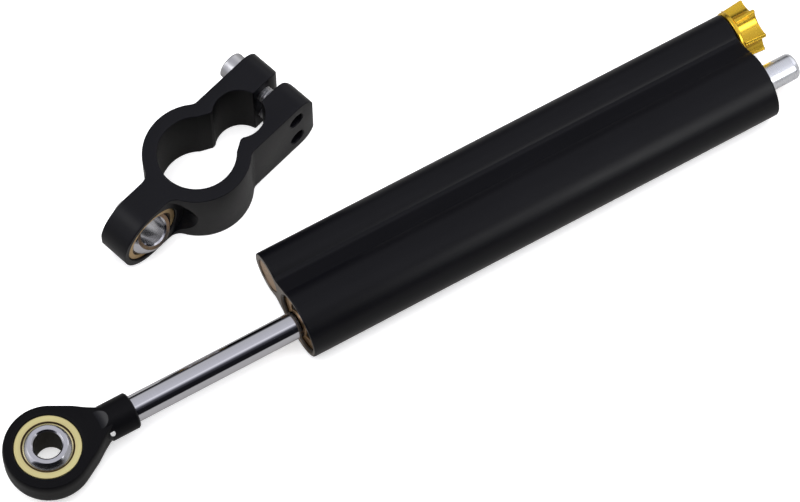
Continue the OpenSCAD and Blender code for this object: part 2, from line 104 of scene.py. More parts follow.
# To the eye the sheet glows a little and so stays white, and in reflections it is a mid grey.
sheet_white, sheet_mirrored, sheet_glow = (0.86, 0.86, 0.86, 1), (0.34, 0.335, 0.325, 1), 0.45
sheet = bpy.data.materials.new("white_sheet")
tree, add = node_tree(sheet)
rays = add("ShaderNodeLightPath")
seen = add("ShaderNodeMath", {"operation": "MAXIMUM"}, i0=rays.outputs["Is Camera Ray"],
           i1=rays.outputs["Is Glossy Ray"])
seen = add("ShaderNodeMath", {"operation": "MAXIMUM"}, i0=seen.outputs[0],
           i1=rays.outputs["Is Transmission Ray"])
tone = add("ShaderNodeMix", {"data_type": "RGBA"}, i0=rays.outputs["Is Glossy Ray"],
           i6=sheet_white, i7=sheet_mirrored)
matt = add("ShaderNodeBsdfDiffuse", Color=tone.outputs[2])
lift = add("ShaderNodeMapRange", i0=rays.outputs["Is Glossy Ray"], i3=sheet_glow, i4=0.0)
lift = add("ShaderNodeMath", {"operation": "MULTIPLY"}, i0=seen.outputs[0], i1=lift.outputs[0])
glow = add("ShaderNodeEmission", Color=(1, 1, 1, 1), Strength=lift.outputs[0])
both = add("ShaderNodeAddShader", i0=matt.outputs[0], i1=glow.outputs[0])
add("ShaderNodeOutputMaterial", Surface=both.outputs[0])
floor_mesh.materials.append(sheet)

room = bpy.data.worlds.new("room")
bpy.context.scene.world = room
tree, add = node_tree(room)
where = add("ShaderNodeTexCoord")
part = add("ShaderNodeSeparateXYZ", Vector=where.outputs["Generated"])
# Each end of the room pales with the direction's X, the left one only behind the damper.
left = add("ShaderNodeMapRange", i0=part.outputs["X"], i1=-0.35, i2=-0.8, i3=0.0, i4=0.7)
behind = add("ShaderNodeMapRange", i0=part.outputs["Y"], i1=0.0, i2=0.45)
left = add("ShaderNodeMath", {"operation": "MULTIPLY"}, i0=left.outputs[0],
           i1=behind.outputs[0])
right = add("ShaderNodeMapRange", i0=part.outputs["X"], i1=0.35, i2=0.7, i3=0.0, i4=0.4)
ends = add("ShaderNodeMath", {"operation": "ADD"}, i0=left.outputs[0], i1=right.outputs[0])
near = add("ShaderNodeMath", {"operation": "MULTIPLY"}, i0=part.outputs["Y"], i1=-1.0)
swing = add("ShaderNodeMath", {"operation": "ARCTAN2"}, i0=near.outputs[0], i1=part.outputs["Z"])
spot = add("ShaderNodeMapRange", i0=swing.outputs[0], i1=-math.pi, i2=math.pi)
shade = add("ShaderNodeValToRGB", Fac=spot.outputs[0])
# (angle from the zenith towards the camera's side in degrees, brightness, tint towards blue)
walls = [(-180, 0.55, 0), (-97, 0.5, 0), (-90, 0.03, 0), (-72, 0.04, 0.2), (-60, 0.55, 0.12),
         (-25, 0.6, 0.2), (6, 0.68, 0.25), (15, 1.0, 0.15), (22, 0.62, 0.3), (33, 0.1, 0.5),
         (52, 0.012, 0.8), (84, 0.01, 0.4), (92, 0.2, 0), (97, 0.45, 0), (180, 0.55, 0)]
ramp = shade.color_ramp
ramp.elements[0].position, ramp.elements[1].position = 0, 1
for angle, light, blue in walls:
    place = (angle + 180) / 360
    stop = ramp.elements[0] if place == 0 else ramp.elements[-1] if place == 1 else \
        ramp.elements.new(place)
    stop.color = (light * (1 - 0.3 * blue), light * (1 - 0.3 * blue), light, 1)
# To the eye the room is plain white, and only its light and reflections have these shades.
rays = add("ShaderNodeLightPath")
seen = add("ShaderNodeMath", {"operation": "MAXIMUM"}, i0=rays.outputs["Is Camera Ray"],
           i1=rays.outputs["Is Transmission Ray"])
tone = add("ShaderNodeMix", {"data_type": "RGBA"}, i0=seen.outputs[0], i6=shade.outputs[0],
           i7=(1, 1, 1, 1))
pale = add("ShaderNodeVectorMath", {"operation": "ADD"}, i0=tone.outputs[2], i1=ends.outputs[0])
back = add("ShaderNodeBackground", Color=pale.outputs[0], Strength=1.0)
add("ShaderNodeOutputWorld", Surface=back.outputs[0])


def hang(name, wide, deep, watts, place, turn, spread=math.pi):
    """A rectangular lamp of the given size in metres, whose light leaves it within spread."""
    lamp = bpy.data.lights.new(name, "AREA")
    lamp.shape, lamp.size, lamp.size_y = "RECTANGLE", wide, deep
    lamp.energy, lamp.spread = watts, spread
    hung = bpy.data.objects.new(name, lamp)
    hung.location = place
    hung.rotation_mode = "QUATERNION"
    hung.rotation_quaternion = turn
    bpy.context.scene.collection.objects.link(hung)
    return hung


def aimed(place, target):
    """The turn that points a lamp at place towards the target."""
    return (Vector(target) - Vector(place)).to_track_quat("-Z", "Y")


overhead = Euler((math.radians(-4), math.radians(-4), 0)).to_quaternion()
broad_lamp = hang("broad_lamp", 1.6, 1.2, 26, (0.0, -0.15, 1.6), overhead)
broad_lamp.visible_glossy = False
knob_lamp_at, side_box_at = (0.345, -0.34, 0.27), (-0.85, 0.55, 1.25)
hang("knob_lamp", 0.22, 0.42, 0.1, knob_lamp_at, aimed(knob_lamp_at, (0.237, 0.01, 0)),
     math.radians(50))
hang("side_box", 0.7, 0.7, 2.5, side_box_at, aimed(side_box_at, (0.05, 0, 0)))

# Twin tube body. One aluminium extrusion, satin black anodised along its length. Both ends are
# faced off after anodising, so the rims and the mouths of the bores are bare metal.

body_front, body_back = 79.0, 233.2
big_r, small_r, tube_gap = 10.6, 7.2, 17.1


def softened(points, radii, closed, steps=4, hold=0.05):
    """Rounds a polyline's corners. At a corner with radius r the arc touches both sides at
    r / tan(half the corner's angle) from the corner, and a point on each side, a little beyond
    the touching point, keeps the flat beside the arc flat."""
    points = np.asarray(points, float)
    count = len(points)
    radii = np.broadcast_to(radii, count)
    out = []
    for i in range(count):
        here = points[i]
        if radii[i] <= 0 or (not closed and i in (0, count - 1)):
            out.append(here)
            continue
        before, after = points[i - 1] - here, points[(i + 1) % count] - here
        long_b, long_a = np.linalg.norm(before), np.linalg.norm(after)
        before, after = before / long_b, after / long_a
        half = math.acos(np.clip(before @ after, -1, 1)) / 2
        touch = min(radii[i] / math.tan(half), 0.42 * min(long_b, long_a))
        r = touch * math.tan(half)
        middle = before + after
        centre = here + middle / np.linalg.norm(middle) * (r / math.sin(half))
        start, end = here + before * touch - centre, here + after * touch - centre
        turn = math.atan2(start[0] * end[1] - start[1] * end[0], start @ end)
        out.append(here + before * (touch + hold))
        for k in range(steps + 1):
            a = turn * k / steps
            out.append(centre + [start[0] * math.cos(a) - start[1] * math.sin(a),
                                 start[0] * math.sin(a) + start[1] * math.cos(a)])
        out.append(here + after * (touch + hold))
    return np.array(out)


def arc(cx, cy, r, first, last, count):
    """Points (cx + r cos a, cy + r sin a) with a in equal steps from first to last degrees."""
    a = np.radians(np.linspace(first, last, count))
    return np.c_[cx + r * np.cos(a), cy + r * np.sin(a)]


def grid(rows, columns, wrap_rows=False, wrap_columns=False, first=0):
    """Quads over a grid of points numbered row by row from first; wrapping joins the last row
    or column to the first."""
    i = np.arange(rows if wrap_rows else rows - 1)[:, None]
    j = np.arange(columns if wrap_columns else columns - 1)[None, :]
    i2, j2 = (i + 1) % rows, (j + 1) % columns
    quads = np.stack([i * columns + j, i2 * columns + j, i2 * columns + j2, i * columns + j2], -1)
    return (quads + first).reshape(-1, 4)


def make_piece(name, points, faces, finishes, which=None, crease=32):
    """A mesh object from points in millimetres and index faces. which gives each face's finish.
    Edges bent by more than crease degrees stay sharp, the rest are shaded smooth."""
    mesh = bpy.data.meshes.new(name)
    mesh.from_pydata((np.asarray(points) * MM).tolist(), [], [list(f) for f in faces])
    for finish in finishes:
        mesh.materials.append(finish)
    if which is not None:
        mesh.polygons.foreach_set("material_index", np.asarray(which, np.int32))
    skin = bmesh.new()
    skin.from_mesh(mesh)
    bmesh.ops.remove_doubles(skin, verts=skin.verts, dist=1e-7)
    bmesh.ops.dissolve_degenerate(skin, edges=skin.edges, dist=1e-8)
    bmesh.ops.recalc_face_normals(skin, faces=skin.faces)
    if skin.calc_volume(signed=True) < 0:
        bmesh.ops.reverse_faces(skin, faces=skin.faces)
    skin.to_mesh(mesh)
    skin.free()
    mesh.shade_smooth()
    mesh.set_sharp_from_angle(angle=math.radians(crease))
    piece = bpy.data.objects.new(name, mesh)
    bpy.context.scene.collection.objects.link(piece)
    return piece


def metal_finish(name, colour, roughness, metallic=1.0, level=0.5, spread=0.05, tint=0.04,
                 centre=None, axis=(0, 0, 1), ring=3000.0, bump=0.0, stretch=(1, 1, 1),
                 speck=900.0, shine=None):
    """A worked metal surface. With a centre the pattern runs in rings round the axis through
    it, as a lathe tool leaves: noise over (height along the axis, distance from it). Without
    one it is noise over the place, stretched along the given directions. The pattern moves the
    roughness by spread, the colour by tint and the surface by bump micrometres. level is the
    specular level, and shine is (near, far, level), a painted sheen: the level that it rises to
    as the distance from the Z axis goes from near to far."""
    made = bpy.data.materials.new(name)
    tree, add = node_tree(made)
    place = add("ShaderNodeTexCoord").outputs["Object"]
    if centre is not None:
        turn = Vector(axis).rotation_difference(Vector((0, 0, 1))).to_matrix()
        shift = -(turn @ (Vector(centre) * MM))
        local = add("ShaderNodeMapping", Vector=place, Location=shift, Rotation=turn.to_euler())
        part = add("ShaderNodeSeparateXYZ", Vector=local.outputs[0])
        across = add("ShaderNodeCombineXYZ", X=part.outputs["X"], Y=part.outputs["Y"])
        away = add("ShaderNodeVectorMath", {"operation": "LENGTH"}, i0=across.outputs[0])
        rings = add("ShaderNodeCombineXYZ", X=part.outputs["Z"], Y=away.outputs["Value"])
        pattern = add("ShaderNodeTexNoise", {"noise_dimensions": "2D"}, Vector=rings.outputs[0],
                      Scale=ring, Detail=2.0, Roughness=0.6)
    else:
        local = add("ShaderNodeMapping", Vector=place, Scale=stretch)
        pattern = add("ShaderNodeTexNoise", Vector=local.outputs[0], Scale=speck, Detail=3.0,
                      Roughness=0.6)
    patches = add("ShaderNodeTexNoise", Vector=place, Scale=55.0, Detail=2.0, Roughness=0.5)
    mixed = add("ShaderNodeMath", {"operation": "ADD"}, i0=pattern.outputs[0],
                i1=patches.outputs[0])
    rough = add("ShaderNodeMapRange", i0=mixed.outputs[0], i1=0.55, i2=1.45,
                i3=max(roughness - spread, 0.02), i4=roughness + spread)
    shade = add("ShaderNodeMapRange", i0=mixed.outputs[0], i1=0.55, i2=1.45, i3=1 - tint,
                i4=1 + tint)
    tinted = add("ShaderNodeVectorMath", {"operation": "SCALE"}, i0=colour, i3=shade.outputs[0])
    if shine is not None:
        part = add("ShaderNodeSeparateXYZ", Vector=place)
        flat = add("ShaderNodeCombineXYZ", X=part.outputs["X"], Y=part.outputs["Y"])
        far = add("ShaderNodeVectorMath", {"operation": "LENGTH"}, i0=flat.outputs[0])
        level = add("ShaderNodeMapRange", {"interpolation_type": "SMOOTHSTEP"},
                    i0=far.outputs["Value"], i1=shine[0] * MM, i2=shine[1] * MM, i3=level,
                    i4=shine[2]).outputs[0]
    skin = add("ShaderNodeBsdfPrincipled", Base_Color=tinted.outputs[0],
               Roughness=rough.outputs[0], Metallic=metallic, Specular_IOR_Level=level)
    if bump:
        relief = add("ShaderNodeBump", Height=pattern.outputs[0], Strength=1.0,
                     Distance=bump * 1e-6)
        tree.links.new(relief.outputs[0], skin.inputs["Normal"])
    add("ShaderNodeOutputMaterial", Surface=skin.outputs[0])
    return made


on_rod = {"centre": (0, 0, 0), "axis": (1, 0, 0)}
black_anodised = metal_finish("black_anodised", (0.003, 0.003, 0.0042), 0.34, metallic=0.0,
                              level=0.17, spread=0.05, tint=0.15, stretch=(0.04, 1, 1),
                              speck=1500.0, bump=2.0)
faced_metal = metal_finish("faced_metal", (0.21, 0.175, 0.145), 0.3, ring=2600.0, bump=3.0,
                           **on_rod)

# Half the outline, seen along the damper: the small tube's round, the foot of the flank beside it
# and the big tube's round from where the line up the flank leaves it. Mirrored, it closes.
waist_z, flank_turn = 5.6, math.radians(72)
waist_y = tube_gap - math.sqrt(small_r ** 2 - waist_z ** 2)
flank_foot = [waist_y - 0.6, waist_z + 0.27]
flank = np.array([[big_r * 0.98 * math.cos(flank_turn), big_r * 0.98 * math.sin(flank_turn)],
                  flank_foot])
slope = flank[1] - flank[0]
ahead = np.roots([slope @ slope, 2 * slope @ flank[0], flank[0] @ flank[0] - big_r ** 2]).max()
leave = flank[0] + slope * ahead
big_end = math.degrees(math.atan2(leave[1], leave[0]))
small_end = math.degrees(math.atan2(6.0, waist_y + 0.55 - tube_gap))
upper_side = np.vstack([arc(tube_gap, 0, small_r, 0, small_end, 50), [flank_foot],
                        arc(0, 0, big_r, big_end, 180, 60)])
upper_round = np.zeros(len(upper_side))
upper_round[49], upper_round[50], upper_round[51] = 0.8, 1.2, 2.5
outline = np.vstack([upper_side, upper_side[-2:0:-1] * [1, -1]])
outline = softened(outline, np.r_[upper_round, upper_round[-2:0:-1]], closed=True)


def inset(loop, amount):
    """The closed loop moved inwards: each point goes along the inward normal of the chord
    between its two neighbours, by amount."""
    chord = np.roll(loop, -1, 0) - np.roll(loop, 1, 0)
    chord /= np.linalg.norm(chord, axis=1)[:, None]
    inward = np.c_[-chord[:, 1], chord[:, 0]]
    return loop + inward * amount


edge_r = 0.45
quarter = np.radians(np.linspace(0, 90, 6))
ends_in, ends_x = edge_r * (1 - np.sin(quarter)), edge_r * (1 - np.cos(quarter))
stations = np.r_[body_front + ends_x, body_front + edge_r + 0.1, body_front + 30, body_front + 77,
                 body_back - 30, body_back - edge_r - 0.1, (body_back - ends_x)[::-1]]
insets = np.r_[ends_in, 0, 0, 0, 0, 0, ends_in[::-1]]
rows = [np.c_[np.full(len(outline), x), inset(outline, a)] for x, a in zip(stations, insets)]
shell_points = np.vstack(rows)
shell_faces = grid(len(stations), len(outline), wrap_columns=True).tolist()
shell_kind = [0] * len(shell_faces)
# The bores as (place along X, radius): a chamfered mouth, the groove of the wire ring, the seat
# of the gland and the honed middle, and the same again towards the rear.
main_bore = [(body_front, 9.5), (79.35, 9.2), (79.55, 9.2), (79.56, 9.6), (80.2, 9.6),
             (80.21, 9.2), (94, 9.2), (94.01, 8.7), (body_back - 15, 8.7),
             (body_back - 14.99, 9.2), (body_back - 1.21, 9.2), (body_back - 1.2, 9.6),
             (body_back - 0.56, 9.6), (body_back - 0.55, 9.2), (body_back - 0.35, 9.2),
             (body_back, 9.5)]
side_bore = [(body_front, 5.35), (body_front + 0.25, 5.1), (body_back - 0.25, 5.1),
             (body_back, 5.35)]
holes = []
for profile, centre_y in ((main_bore, 0.0), (side_bore, tube_gap)):
    a = np.radians(np.arange(0, 360, 3.75))
    first = len(shell_points)
    rings = np.vstack([np.c_[np.full(len(a), x), centre_y + r * np.cos(a), r * np.sin(a)]
                       for x, r in profile])
    shell_points = np.vstack([shell_points, rings])
    bore_faces = grid(len(profile), len(a), wrap_columns=True, first=first)
    shell_faces += bore_faces.tolist()
    shell_kind += [1] * len(bore_faces)
    holes.append((first, first + (len(profile) - 1) * len(a), len(a)))
# Each end is one flat face round both holes, filled with triangles.
for end, row in ((0, 0), (1, len(stations) - 1)):
    loops = [np.arange(len(outline)) + row * len(outline)]
    loops += [np.arange(n) + (start, stop)[end] for start, stop, n in holes]
    order = np.concatenate(loops)
    flats = [[Vector((shell_points[i][1], shell_points[i][2], 0)) for i in loop] for loop in loops]
    cap = [[int(order[k]) for k in tri] for tri in tessellate_polygon(flats)]
    shell_faces += cap
    shell_kind += [1] * len(cap)
body_shell = make_piece("twin_tube_body", shell_points, shell_faces,
                        [black_anodised, faced_metal], shell_kind, crease=28)
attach(body_shell, "damper_body")
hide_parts("body_profile")

# Glands and wipers. Two turned bronze glands guide and seal the rod, one in each mouth of the big
# bore, with a rubber wiper in front of the seal and a spring wire ring that holds the gland in.


def turned(name, profile, body, node, finish, centre=(0, 0, 0), axis="X",
           closed=True, sides=96, flip=1):
    """A lathe-turned piece. Each profile point is (place along the axis, radius); the surface is
    (along, radius cos a, radius sin a) for a all round, for an axis along X. A closed profile
    makes a ring and an open one starts and ends on the axis. flip -1 points it along -X."""
    profile = np.asarray(profile, float)
    a = np.radians(np.arange(sides) * 360 / sides)
    along = np.repeat(profile[:, 0:1], sides, 1) * flip
    across, up = profile[:, 1:2] * np.cos(a), profile[:, 1:2] * np.sin(a)
    columns = {"X": (along, across, up), "Z": (across, up, along)}
    points = np.stack(columns[axis], -1).reshape(-1, 3) + np.asarray(centre, float)
    piece = make_piece(name, points, grid(len(profile), sides, closed, True), [finish])
    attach(piece, body)
    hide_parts(node)
    return piece


bronze = metal_finish("turned_bronze", (0.66, 0.43, 0.22), 0.33, ring=2200.0, bump=3.0, tint=0.12,
                      **on_rod)
rubber = metal_finish("black_rubber", (0.012, 0.012, 0.012), 0.62, metallic=0.0, speck=2500.0,
                      spread=0.08, tint=0.2, bump=4.0)
spring_steel = metal_finish("spring_steel", (0.09, 0.085, 0.08), 0.34, speck=1600.0, tint=0.2,
                            bump=1.0)
# Half sections as (place behind the piece's face, radius), going round each ring.
gland_profile = softened([(0, 8.78), (0.4, 9.18), (7.2, 9.18), (7.2, 7.85), (9.2, 7.85),
                          (9.2, 9.18), (13.6, 9.18), (13.6, 6.2), (10.6, 6.2), (10.6, 5.0),
                          (5.0, 5.0), (5.0, 4.25), (2.4, 4.25), (2.4, 5.5), (0, 5.5)],
                         [0.12, 0.3, 0.1, 0.1, 0.1, 0.1, 0.3, 0.1, 0.1, 0.1, 0.1, 0.15, 0.1,
                          0.1, 0.2], closed=True, steps=3, hold=0.03)
wiper_profile = softened([(0.5, 5.48), (2.35, 5.48), (2.35, 4.05), (1.3, 4.05), (0.5, 4.9)],
                         0.15, closed=True, steps=3, hold=0.02)
wire_r, wire_ring_r, gap_half = 0.4, 9.19, 9.6
for side, face, flip in (("front", 80.2, 1), ("rear", 232.0, -1)):
    turned(side + "_gland_turned", gland_profile, "damper_body", side + "_gland",
           bronze, centre=(face, 0, 0), flip=flip)
    turned(side + "_wiper_lip", wiper_profile, "damper_body", side + "_wiper",
           rubber, centre=(face, 0, 0), flip=flip)
    # The wire: a small circle carried round an arc that stops short of the gap on the -Y side.
    round_wire = np.radians(np.arange(0, 360, 30))
    turn = np.radians(np.linspace(-180 + gap_half, 180 - gap_half, 121))[:, None]
    off = wire_ring_r + wire_r * np.cos(round_wire)[None, :]
    beside = face - flip * (wire_r + 0.01) + wire_r * np.sin(round_wire)
    wire = np.stack([beside * np.ones_like(turn), off * np.cos(turn), off * np.sin(turn)],
                    -1).reshape(-1, 3)
    wire_faces = grid(len(turn), len(round_wire), wrap_columns=True).tolist()
    wire_faces += [list(range(len(round_wire)))[::-1],
                   list(range(len(wire) - len(round_wire), len(wire)))]
    clip = make_piece(side + "_ring_wire", wire, wire_faces, [spring_steel])
    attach(clip, "damper_body")
    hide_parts(side + "_circlip")

# Side plug. A turned copper plug pressed into the front of the small bore, faced just inside the
# rim, with the groove for its sealing ring.

on_side = {"centre": (0, tube_gap, 0), "axis": (1, 0, 0)}
copper = metal_finish("turned_copper", (0.6, 0.39, 0.22), 0.3, ring=2400.0, bump=3.0, tint=0.1,
                      **on_side)
turned("side_plug_turned", softened([(79.3, 0), (79.3, 5.08), (82.0, 5.08), (82.0, 3.9),
                                     (83.8, 3.9), (83.8, 5.08), (85.5, 5.08), (85.5, 0)],
                                    [0, 0.3, 0.1, 0.1, 0.1, 0.1, 0.25, 0], closed=False,
                                    steps=3),
       "damper_body", "side_plug", copper, centre=(0, tube_gap, 0), closed=False)

# Piston rod. Ground steel with hard chrome: a stud in front, snap ring grooves at the piston and
# a plain tail whose end is rounded over.

chrome = metal_finish("hard_chrome", (0.72, 0.72, 0.76), 0.06, ring=1500.0, spread=0.025,
                      tint=0.02, bump=0.12, **on_rod)
stud_from, stud_r, shoulder_x, rod_r, rod_tip = 13.9, 2.98, 26.52, 4.0, 245.0
ring_grooves, groove_wide, groove_r = (119.95, 129.1), 0.95, 3.5
rod_corners = [(stud_from, 0), (stud_from, stud_r), (shoulder_x, stud_r), (shoulder_x, rod_r)]
for x in ring_grooves:
    rod_corners += [(x, rod_r), (x, groove_r), (x + groove_wide, groove_r),
                    (x + groove_wide, rod_r)]
tail_from, over_long, over_deep = 180.0, 1.7, 1.6
tail_turn = np.radians(np.linspace(0, 90, 10))
tail_profile = np.c_[rod_tip - over_long + over_long * np.sin(tail_turn),
                     rod_r - over_deep + over_deep * np.cos(tail_turn)]
rod_profile = np.vstack([softened(rod_corners, [0, 0.4, 0.1, 0.12] + [0] * 8, closed=False,
                                  steps=3),
                         [(tail_from, rod_r), (rod_tip - 5, rod_r), (rod_tip - 1.8, rod_r)],
                         tail_profile, [(rod_tip, 0)]])
rod = turned("chromed_rod", rod_profile, "rod", "piston_rod", chrome, closed=False,
             sides=128)
satin = metal_finish("satin_tail", (0.92, 0.94, 1.0), 0.27, ring=900.0, spread=0.05, tint=0.03,
                     bump=0.05, **on_rod)
rod.data.materials.append(satin)
middles = np.empty(len(rod.data.polygons) * 3)
rod.data.polygons.foreach_get("center", middles)
rod.data.polygons.foreach_set("material_index",
                              (middles[0::3] > tail_from * MM).astype(np.int32))

# Rod end. A black forged eye with two milled flats. Its neck narrows and runs into the turned
# shank, and a ball-nosed cutter has left a sloping band where the flats meet the shank.

black_steel = metal_finish("black_rod_end", (0.0028, 0.0027, 0.0034), 0.36, metallic=0.0,
                           level=0.095, speck=1300.0, spread=0.05, tint=0.2, bump=5.0)
bare_edge = metal_finish("bare_edge", (0.5, 0.5, 0.5), 0.35, ring=2600.0, bump=3.0, **on_rod)
# The cutter's band is a lighter copy of the rod end's black. Its specular level rises from 0.095
# to 0.5 between 15.3 and 18.2 mm from the bore's axis: a painted sheen.
cutter_band_painted_sheen = metal_finish("cutter_band_painted_sheen", (0.004, 0.004, 0.0055), 0.38, metallic=0.0,
                           level=0.095, speck=1300.0, spread=0.05, tint=0.2, bump=5.0,
                           shine=(15.3, 18.2, 0.5))
eye_r, half_t, hole_r, shank_r, shank_end = 12.9, 4.62, 9.7, 5.45, 26.4
# The neck's side as (x, y, rounding of the corner there).
neck = np.array([[11.6, 8.2, 14], [14.9, 5.8, 9], [16.8, 4.6, 14], [19, 3.5, 9], [21, 2.8, 0]])
half_plan = np.vstack([arc(0, 0, eye_r - 0.01, 180, 62, 90), neck[:, :2], [[21, 0]]])
plan = np.vstack([half_plan, half_plan[-2:0:-1] * [1, -1]])[::-1]
bends = np.zeros(len(plan))
for x, _, bend in neck:
    bends[np.abs(plan[:, 0] - x) < 0.01] = bend
plan = softened(plan, bends, closed=True, steps=3)
edge_in, edge_down = 0.7, 2.8
turn = np.radians(np.linspace(0, 90, 12))
top = [(hole_r, half_t - 0.3), (hole_r + 0.1, half_t - 0.08), (hole_r + 0.3, half_t)]
to_hole = plan / np.linalg.norm(plan, axis=1)[:, None]
section = [np.c_[to_hole * r, np.full(len(plan), z)] for r, z in top]
rim = inset(plan, edge_in + 0.06)
section += [np.c_[rim * 0.5 + to_hole * (hole_r + 0.3) * 0.5, np.full(len(plan), half_t)],
            np.c_[rim, np.full(len(plan), half_t)]]
section += [np.c_[inset(plan, edge_in * (1 - math.sin(t))),
                  np.full(len(plan), half_t - edge_down * (1 - math.cos(t)))] for t in turn]
section += [s * [1, 1, -1] for s in section[::-1]]
eye_points = np.vstack(section)
eye_faces = grid(len(section), len(plan), True, True)

# The shank. Where its round stands proud of the flats its surface is the cutter's: at a share s
# of the steepest angle t it lies cut_from + R sin(s t) from the bore's axis and R (1 - cos(s t))
# above the flat, R being cutter_r. Between the flats it draws in by narrowing towards the eye.
angles = np.radians(np.arange(0, 360, 3))
bar_y, bar_z = shank_r * np.sin(angles), shank_r * np.cos(angles)
cutter_r, cut_from, narrowing, neck_bend = 6.0, 15.7, 0.22, math.radians(55)
rise = np.maximum(np.abs(bar_z) - half_t, 0)
steepest = np.arccos(1 - rise / cutter_r)
below = np.clip((half_t - np.abs(bar_z)) / 1.2, 0, 1)
bar_rows = [np.c_[np.full(len(angles), 12.0), bar_y * 0, bar_z * 0]]
for share in np.linspace(0, 1, 9):
    away = cut_from + cutter_r * np.sin(steepest * share)
    height = np.minimum(np.abs(bar_z), half_t) + cutter_r * (1 - np.cos(steepest * share))
    bend = neck_bend * share
    narrow = 1 - narrowing * below * (1 - (1 - math.cos(bend)) / (1 - math.cos(neck_bend)))
    along = np.sqrt(away ** 2 - bar_y ** 2) - 0.4 * below + \
        3.2 * below * math.sin(bend) / math.sin(neck_bend)
    bar_rows.append(np.c_[along, bar_y * narrow, height * np.sign(bar_z) * narrow])
for x, r in ((21.5, shank_r), (shank_end - 0.62, shank_r), (shank_end - 0.55, shank_r),
             (shank_end - 0.5, shank_r - 0.02), (shank_end - 0.02, shank_r - 0.5),
             (shank_end, shank_r - 0.55), (shank_end, 3.3), (shank_end - 0.25, 3.03),
             (13.4, 3.03), (13.4, 0)):
    bar_rows.append(np.c_[np.full(len(angles), x), bar_y * r / shank_r, bar_z * r / shank_r])
bar_points = np.vstack(bar_rows)
bar_faces = grid(len(bar_rows), len(angles), False, True, first=len(eye_points))
# Rows 1 to 8 are the cutter's band, 16 and 17 the bare mouth and wall of the threaded hole.
kind = np.zeros(len(bar_faces), int).reshape(len(bar_rows) - 1, -1)
kind[1:9], kind[16:18] = 2, 1
eye = make_piece("rod_end_forging", np.vstack([eye_points, bar_points]),
                 eye_faces.tolist() + bar_faces.tolist(), [black_steel, bare_edge, cutter_band_painted_sheen],
                 np.r_[np.zeros(len(eye_faces), int), kind.ravel()], crease=24)


def drill_through(piece, drills, crease):
    """Cuts turned solids out of a piece and keeps the result as its mesh. Each drill is a
    profile of (along, radius) points, a place and a direction."""
    tools = []
    for number, (profile, place, direction) in enumerate(drills):
        profile = np.array(profile, float)
        a = np.radians(np.arange(0, 360, 3.75 if profile[:, 1].max() > 1 else 15))
        solid = np.stack([profile[:, 1:2] * np.cos(a), profile[:, 1:2] * np.sin(a),
                          np.repeat(profile[:, :1], len(a), 1)], -1).reshape(-1, 3)
        turn = np.array(Vector(direction).to_track_quat("Z", "Y").to_matrix())
        tool = make_piece(piece.name + "_drill_%d" % number, solid @ turn.T + place,
                          grid(len(profile), len(a), False, True), [piece.data.materials[0]])
        cut = piece.modifiers.new(tool.name, "BOOLEAN")
        cut.operation, cut.solver, cut.object = "DIFFERENCE", "MANIFOLD", tool
        tools.append(tool)
    bpy.context.view_layer.update()
    done = bpy.data.meshes.new_from_object(
        piece.evaluated_get(bpy.context.evaluated_depsgraph_get()))
    piece.modifiers.clear()
    piece.data = done
    for tool in tools:
        bpy.data.objects.remove(tool)
    done.shade_smooth()
    done.set_sharp_from_angle(angle=math.radians(crease))


sight_r, sight_at, sight_along = 0.74, (18.2, -3.75, 0), (-0.128, -0.365, 0.922)
drill_through(eye, [([(-9, 0), (-9, sight_r), (9, sight_r), (9, 0)], sight_at, sight_along)], 24)
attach(eye, "rod")
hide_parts("rod_end")

# Spherical bearings. Each has a turned brass-coloured race pressed into its seat and a polished
# chromed ball with flat faces and a chamfered bore. One is in the rod end and one in the lug of
# the clamp, which lies loose beside the damper at clamp_place.

ball_r, ball_half, ball_bore_r, race_half = 8.5, 6.3, 4.1, 4.5
race_wall_r, bore_wall_r = ball_r + 0.1, ball_bore_r + 0.02
ball_flat = math.sqrt(ball_r ** 2 - ball_half ** 2)
flat_angle = math.degrees(math.asin(ball_half / ball_r))
ball_top = softened([(ball_half - 0.6, ball_bore_r), (ball_half - 0.45, ball_bore_r),
                     (ball_half, ball_bore_r + 0.46), (ball_half, ball_flat - 0.02)],
                    [0, 0.12, 0.12, 0], closed=False, steps=3, hold=0.03)
ball_round = arc(0, 0, ball_r, flat_angle - 0.6, -flat_angle + 0.6, 41)[:, ::-1]
ball_profile = np.vstack([ball_top, ball_round, (ball_top * [-1, 1])[::-1]])
race_round = arc(0, 0, ball_r + 0.03, 28.0, -28.0, 21)[:, ::-1]


def race_profile(outer):
    """Half section of a race: the chamfered outside, both faces and the hollow round inside."""
    front = softened([(race_half - 0.7, outer), (race_half - 0.25, outer),
                      (race_half, outer - 0.25), (race_half, 7.66), (race_half - 0.2, 7.52)],
                     [0, 0.1, 0.1, 0.08, 0], closed=False, steps=3, hold=0.02)
    return np.vstack([front, race_round, (front * [-1, 1])[::-1]])


clamp_turn, lug_x = math.radians(16.9), -23.6
clamp_place = Matrix.Translation((78, 56, 0.6)) @ Matrix.Rotation(clamp_turn, 4, "Z")
lug_centre = clamp_place @ Vector((lug_x, 0, 0))
on_eye = {"centre": (0, 0, 0), "axis": (0, 0, 1)}
ball_chrome = metal_finish("ball_chrome", (0.7, 0.7, 0.75), 0.17, ring=1500.0, spread=0.03,
                           tint=0.03, bump=0.05, **on_eye)
brass = metal_finish("race_brass", (1.0, 0.88, 0.42), 0.33, ring=3000.0, bump=3.5, tint=0.1,
                     spread=0.07, **on_eye)
lug_bore = metal_finish("lug_ball_bore", (0.62, 0.62, 0.65), 0.2, ring=2500.0, spread=0.08,
                        tint=0.15, bump=2.0, **on_eye)
# The hollow inside each race is a dark brown copy of the brass: painted shade in the gap round the
# ball.
race_wall = metal_finish("race_wall", (0.22, 0.15, 0.07), 0.35, ring=2500.0, spread=0.08,
                         tint=0.15, bump=2.0, **on_eye)
# The rod end's ball has its bore near black: painted shade inside the bore.
ball_bore = metal_finish("ball_bore", (0.05, 0.047, 0.037), 0.5, metallic=0.6, ring=2500.0,
                         spread=0.08, tint=0.15, bump=3.0, **on_eye)


